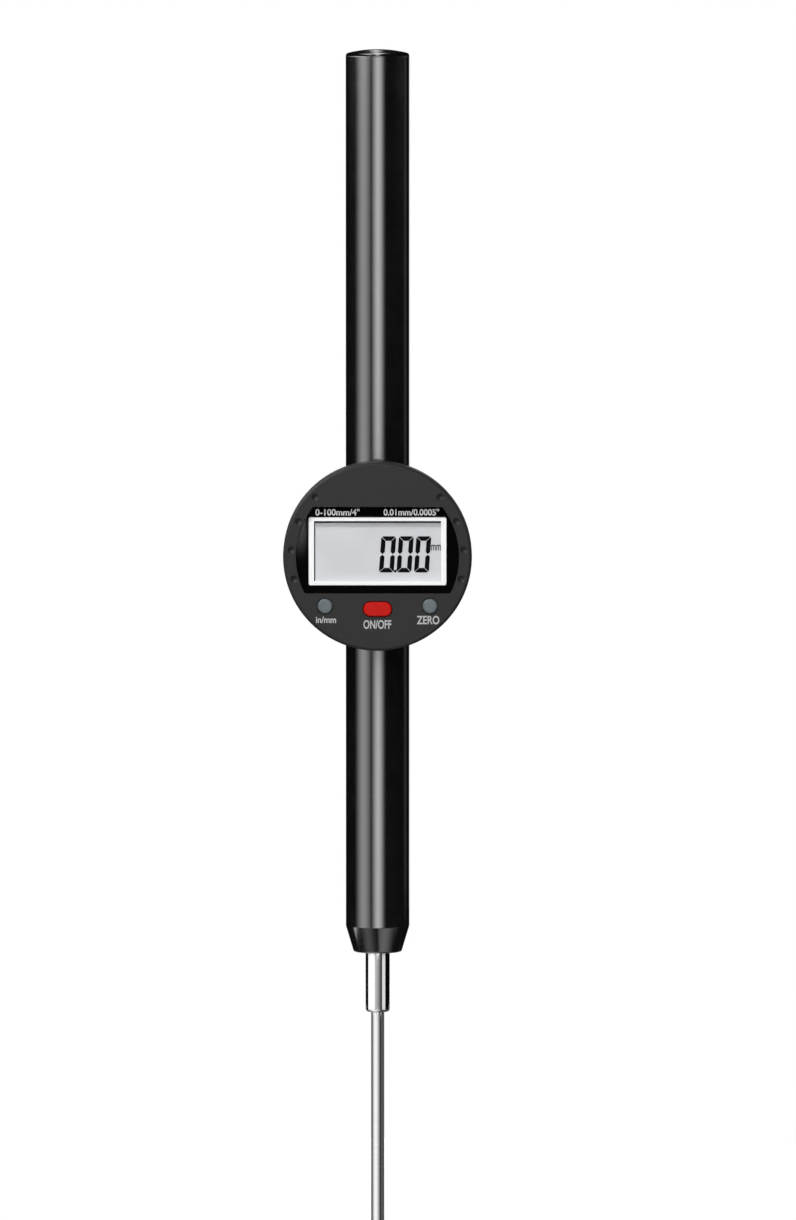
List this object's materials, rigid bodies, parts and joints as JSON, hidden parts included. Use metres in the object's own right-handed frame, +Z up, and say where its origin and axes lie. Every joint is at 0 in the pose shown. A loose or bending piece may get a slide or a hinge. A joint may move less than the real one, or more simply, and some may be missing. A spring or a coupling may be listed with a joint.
{
  "type": "digital indicator",
  "caption": "Long-travel digital indicator: black tube with a round display head on it, a clamping stem below a conical nose, and a spring-loaded measuring spindle with a ball point.",
  "frame": {"origin": "on the spindle axis, in the middle of the length of stem that stands out of the nose", "axes": "+Z up along the spindle towards the end cap, -Y out of the display, +X to the right as seen from the front"},
  "size_m": [0.062, 0.0374, 0.4281],
  "materials": {
    "tube_black": "black lacquer, glossy",
    "steel": "ground",
    "bright_steel": "polished",
    "bronze": "turned",
    "brass": "plain",
    "dark_alloy": "black anodised, satin",
    "alloy": "milled",
    "cover_plastic": "fine moulded grain",
    "black_plastic": "moulded",
    "window_clear": "clear, polished",
    "mask_print": "printed black",
    "white_plastic": "moulded",
    "lcd_glass": "reflective display",
    "rubber": "moulded",
    "board": "solder mask",
    "scale_print": "etched laminate",
    "button_grey": "moulded, smooth",
    "button_red": "moulded, smooth",
    "lead_red": "insulated wire"
  },
  "bodies": {
    "gauge_body": {"stem": "steel", "lower_bush": "bronze", "upper_bush": "bronze", "wiper_ring": "rubber", "nose_cone": "tube_black", "lower_tube": "tube_black", "upper_tube": "tube_black", "end_cap": "tube_black", "guide_rod": "steel", "stop_ring": "brass", "stop_bumper": "rubber", "return_spring": "steel", "head_housing": "dark_alloy", "front_cover": "cover_plastic", "cover_screws": "steel", "display_window": "window_clear", "window_mask": "mask_print", "lcd_frame": "white_plastic", "lcd_panel": "lcd_glass", "lcd_holder": "black_plastic", "contact_strips": "rubber", "main_board": "board", "board_screws": "steel", "controller_chip": "black_plastic", "key_switches": "black_plastic", "sensor_plate": "black_plastic", "sensor_board": "board", "pin_header": "brass", "back_cover": "cover_plastic", "back_screws": "steel", "battery_tray": "black_plastic", "coin_cell": "steel", "minus_contact": "brass", "plus_contact": "brass", "battery_leads": "lead_red"},
    "spindle": {"spindle_rod": "bright_steel", "contact_point": "steel", "contact_ball": "bright_steel", "scale_carrier": "alloy", "scale_strip": "scale_print", "top_slider": "white_plastic", "slider_clip": "steel"},
    "inch_mm_key": {"inch_mm_button": "button_grey", "inch_mm_plunger": "white_plastic"},
    "on_off_key": {"on_off_button": "button_red", "on_off_plunger": "white_plastic"},
    "zero_key": {"zero_button": "button_grey", "zero_plunger": "white_plastic"},
    "hatch": {"battery_hatch": "cover_plastic", "hatch_seal": "rubber"}
  },
  "joints": [
    {"name": "spindle_slide", "type": "slide", "parent": "gauge_body", "child": "spindle", "axis": [0, 0, 1], "range_m": [0, 0.1], "stiffness_N_per_m": 16, "springref_m": -0.03, "deforming": ["return_spring"]},
    {"name": "inch_mm_press", "type": "slide", "parent": "gauge_body", "child": "inch_mm_key", "axis": [0, 1, 0], "range_m": [0, 0.0005], "stiffness_N_per_m": 800, "springref_m": -0.0004},
    {"name": "on_off_press", "type": "slide", "parent": "gauge_body", "child": "on_off_key", "axis": [0, 1, 0], "range_m": [0, 0.0005], "stiffness_N_per_m": 800, "springref_m": -0.0004},
    {"name": "zero_press", "type": "slide", "parent": "gauge_body", "child": "zero_key", "axis": [0, 1, 0], "range_m": [0, 0.0005], "stiffness_N_per_m": 800, "springref_m": -0.0004},
    {"name": "hatch_turn", "type": "hinge", "parent": "gauge_body", "child": "hatch", "pos_m": [0, 0.0137, 0.1422], "axis": [0, 1, 0], "range_deg": [0, 50]}
  ]
}
